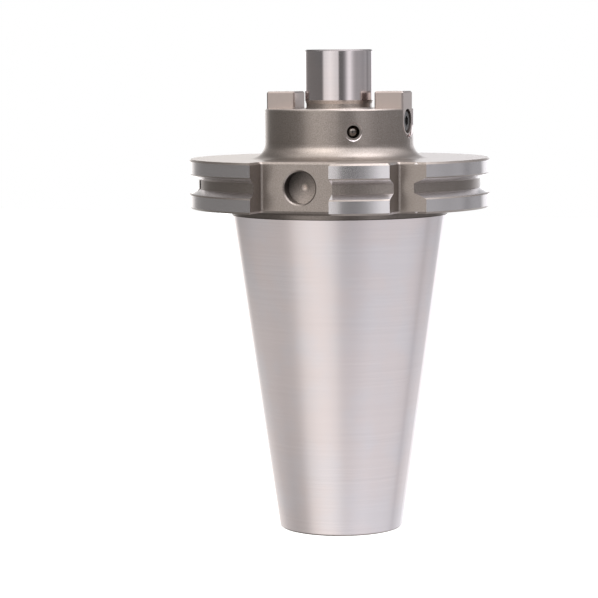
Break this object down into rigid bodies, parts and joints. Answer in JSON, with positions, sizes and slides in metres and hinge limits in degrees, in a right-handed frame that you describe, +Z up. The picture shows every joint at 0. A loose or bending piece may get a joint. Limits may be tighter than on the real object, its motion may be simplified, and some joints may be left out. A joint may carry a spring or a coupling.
{
  "type": "shell mill arbor",
  "caption": "Steep-taper shell mill arbor: tapered shank, flange with gripper groove and drive slots, hub with drive keys and a short spigot for the cutter.",
  "frame": {"origin": "centre of the flat face at the taper's small end, on which the arbor stands", "axes": "+Z up the arbor's axis, from the small end to the spigot; -Y out of the front drive slot; the two drive keys on the X axis, the right one on +X"},
  "size_m": [0.0974, 0.094, 0.1558],
  "materials": {
    "body_steel": "fine blasted case-hardened steel, ground bright on the taper, the rim, the groove flanks and the spigot",
    "key_steel": "fine ground hardened steel",
    "black_screw": "black oxide steel, satin",
    "plug_steel": "plain turned steel",
    "ball_steel": "polished bearing steel"
  },
  "bodies": {
    "root": {"arbor_body": "body_steel", "drive_key_right": "key_steel", "drive_key_left": "key_steel", "key_screw_right": "black_screw", "key_screw_left": "black_screw", "hub_plug_sleeve_front": "plug_steel", "hub_plug_sleeve_rear": "plug_steel", "hub_plug_ball_front": "ball_steel", "hub_plug_ball_rear": "ball_steel", "channel_screw_right": "black_screw", "channel_screw_left": "black_screw", "port_screw_right": "black_screw", "port_screw_left": "black_screw"}
  },
  "joints": []
}
